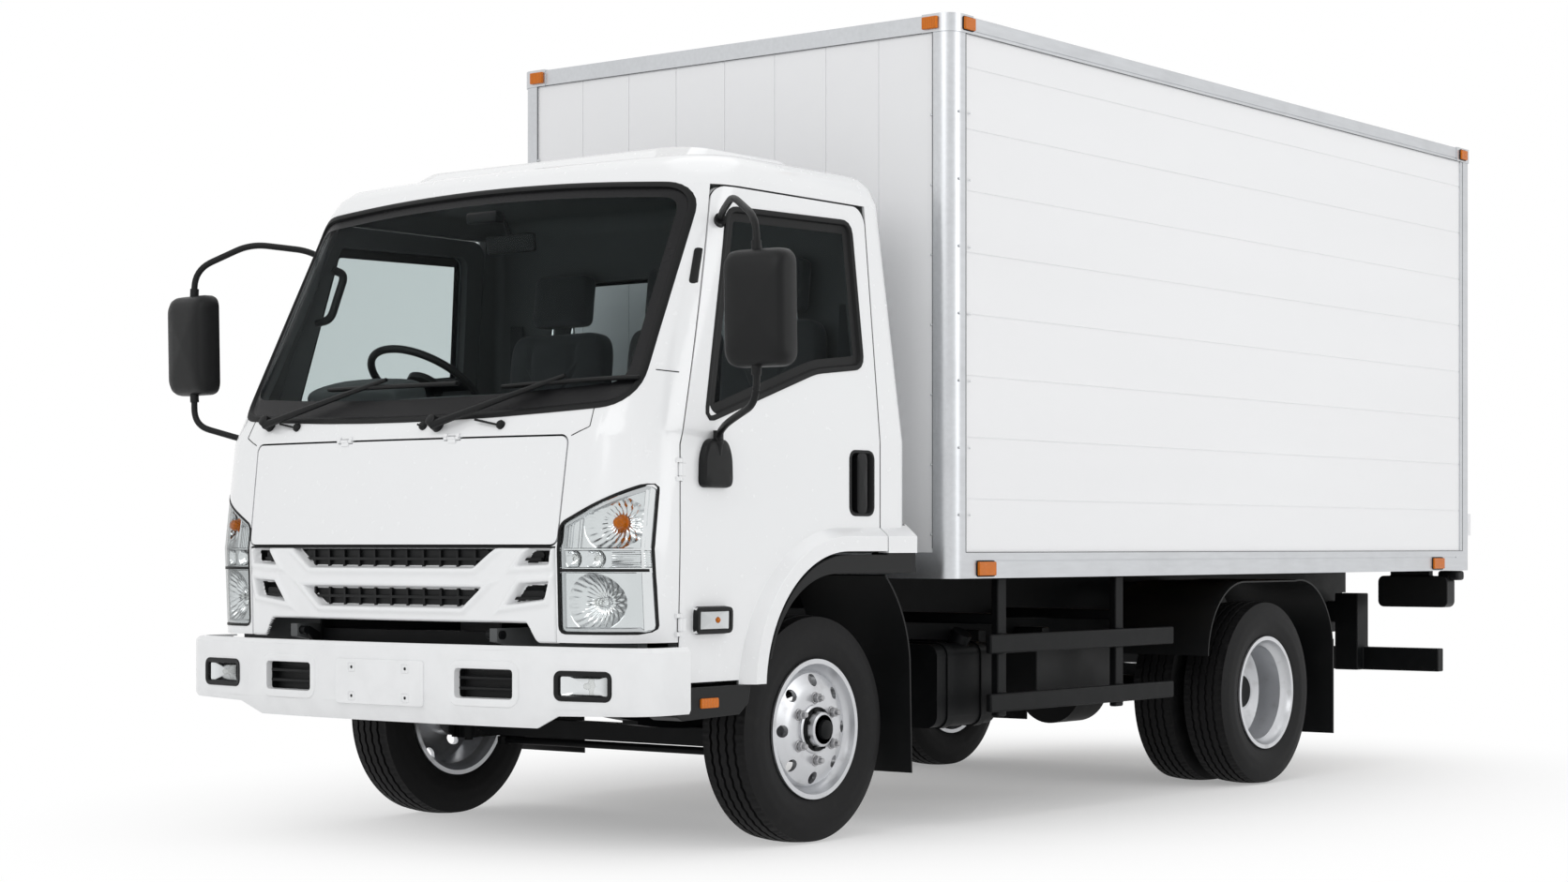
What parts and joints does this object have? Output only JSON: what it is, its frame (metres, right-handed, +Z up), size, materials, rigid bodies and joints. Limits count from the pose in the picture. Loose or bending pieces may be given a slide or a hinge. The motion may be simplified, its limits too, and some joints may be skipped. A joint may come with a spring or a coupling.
{
  "type": "box truck",
  "caption": "Cab-over light box truck with tilting cab, opening doors, steered front wheels, twin rear wheels and a panelled load box with two rear doors.",
  "frame": {"origin": "middle of the bounding box on the ground", "axes": "+X forward, +Y to the truck's left, +Z up"},
  "size_m": [6.234, 2.88, 2.911],
  "materials": {
    "white_paint": "gloss",
    "white_panel": "satin",
    "box_aluminium": "satin",
    "floor_board": "matte",
    "black_steel": "satin",
    "cast_engine": "matte",
    "exhaust_steel": "satin",
    "white_plastic": "gloss",
    "black_plastic": "matte",
    "lamp_plastic": "gloss",
    "lamp_glass": "gloss",
    "lamp_chrome": "gloss",
    "clear_glass": "gloss",
    "cab_lining": "matte",
    "seat_cloth": "matte",
    "tyre_rubber": "matte",
    "rim_steel": "satin"
  },
  "bodies": {
    "chassis": {"frame_rail_left": "black_steel", "frame_rail_right": "black_steel", "frame_cross_members": "black_steel", "front_axle": "black_steel", "rear_axle": "black_steel", "leaf_springs": "black_steel", "engine": "cast_engine", "fuel_tank": "black_steel", "battery_box": "black_plastic", "exhaust": "exhaust_steel", "front_bumper": "white_plastic", "fog_lamps": "lamp_glass", "front_mudguards": "black_plastic", "side_guards": "black_steel", "rear_mudguards": "black_plastic", "rear_underrun": "black_steel", "tail_lamps": "black_plastic", "box_subframe": "black_steel", "box_floor": "floor_board", "box_front_wall": "white_panel", "box_roof": "white_panel", "box_frame": "box_aluminium", "box_side_left": "white_panel", "box_side_right": "white_panel", "marker_lamps": "lamp_plastic"},
    "cab": {"cab_roof": "white_paint", "cab_back": "white_paint", "cab_front": "white_paint", "grille": "white_paint", "grille_mesh": "black_plastic", "headlamp_lenses": "lamp_glass", "headlamp_housings": "lamp_chrome", "cab_glass": "clear_glass", "cab_floor": "cab_lining", "dashboard": "black_plastic", "seats": "seat_cloth", "cab_lower_trims": "black_plastic", "wipers": "black_plastic"},
    "front_lid": {"front_lid": "white_paint"},
    "door_left": {"door_left": "white_paint", "door_glass_left": "clear_glass", "mirror_left": "black_plastic"},
    "door_right": {"door_right": "white_paint", "door_glass_right": "clear_glass", "mirror_right": "black_plastic"},
    "steering_wheel": {"steering_wheel": "black_plastic"},
    "knuckle_left": {"knuckle_left": "black_steel"},
    "knuckle_right": {"knuckle_right": "black_steel"},
    "tie_rod": {"tie_rod": "black_steel"},
    "wheel_front_left": {"tyre_front_left": "tyre_rubber", "rim_front_left": "rim_steel"},
    "wheel_front_right": {"tyre_front_right": "tyre_rubber", "rim_front_right": "rim_steel"},
    "wheels_rear_left": {"tyres_rear_left": "tyre_rubber", "rims_rear_left": "rim_steel"},
    "wheels_rear_right": {"tyres_rear_right": "tyre_rubber", "rims_rear_right": "rim_steel"},
    "rear_door_left": {"rear_door_left": "white_panel"},
    "rear_door_right": {"rear_door_right": "white_panel"}
  },
  "joints": [
    {"name": "cab_tilt", "type": "hinge", "parent": "chassis", "child": "cab", "pos_m": [3.042, 0, 0.725], "axis": [0, 1, 0], "range_deg": [0, 45]},
    {"name": "door_left_hinge", "type": "hinge", "parent": "cab", "child": "door_left", "pos_m": [2.774, 1, 1], "axis": [0, 0, -1], "range_deg": [0, 70]},
    {"name": "door_right_hinge", "type": "hinge", "parent": "cab", "child": "door_right", "pos_m": [2.774, -1, 1], "axis": [0, 0, 1], "range_deg": [0, 70]},
    {"name": "front_lid_hinge", "type": "hinge", "parent": "cab", "child": "front_lid", "pos_m": [3.031, 0, 1.359], "axis": [0, -1, 0], "range_deg": [0, 80]},
    {"name": "steering_wheel_turn", "type": "hinge", "parent": "cab", "child": "steering_wheel", "pos_m": [2.402, -0.505, 1.585], "axis": [-0.5736, 0, 0.8192], "range_deg": [-684, 684]},
    {"name": "steer_left", "type": "hinge", "parent": "chassis", "child": "knuckle_left", "pos_m": [1.982, 0.7, 0.388], "axis": [0, 0, 1], "range_deg": [-38, 38]},
    {"name": "steer_right", "type": "hinge", "parent": "chassis", "child": "knuckle_right", "pos_m": [1.982, -0.7, 0.388], "axis": [0, 0, 1], "range_deg": [-38, 38]},
    {"name": "tie_rod_turn", "type": "hinge", "parent": "knuckle_left", "child": "tie_rod", "pos_m": [1.792, 0.7, 0.273], "axis": [0, 0, 1], "range_deg": [-38, 38]},
    {"name": "wheel_front_left_spin", "type": "hinge", "parent": "knuckle_left", "child": "wheel_front_left", "pos_m": [1.982, 0.84, 0.388], "axis": [0, 1, 0], "continuous": true},
    {"name": "wheel_front_right_spin", "type": "hinge", "parent": "knuckle_right", "child": "wheel_front_right", "pos_m": [1.982, -0.84, 0.388], "axis": [0, 1, 0], "continuous": true},
    {"name": "wheels_rear_left_spin", "type": "hinge", "parent": "chassis", "child": "wheels_rear_left", "pos_m": [-1.068, 0.805, 0.388], "axis": [0, 1, 0], "continuous": true},
    {"name": "wheels_rear_right_spin", "type": "hinge", "parent": "chassis", "child": "wheels_rear_right", "pos_m": [-1.068, -0.805, 0.388], "axis": [0, 1, 0], "continuous": true},
    {"name": "rear_door_left_hinge", "type": "hinge", "parent": "chassis", "child": "rear_door_left", "pos_m": [-3.087, 1.011, 1.9], "axis": [0, 0, -1], "range_deg": [0, 240]},
    {"name": "rear_door_right_hinge", "type": "hinge", "parent": "chassis", "child": "rear_door_right", "pos_m": [-3.087, -1.011, 1.9], "axis": [0, 0, 1], "range_deg": [0, 240]}
  ],
  "couplings": [
    {"joint": "steer_right", "follows": "steer_left", "ratio": 1},
    {"joint": "tie_rod_turn", "follows": "steer_left", "ratio": -1},
    {"joint": "steering_wheel_turn", "follows": "steer_left", "ratio": 18}
  ]
}
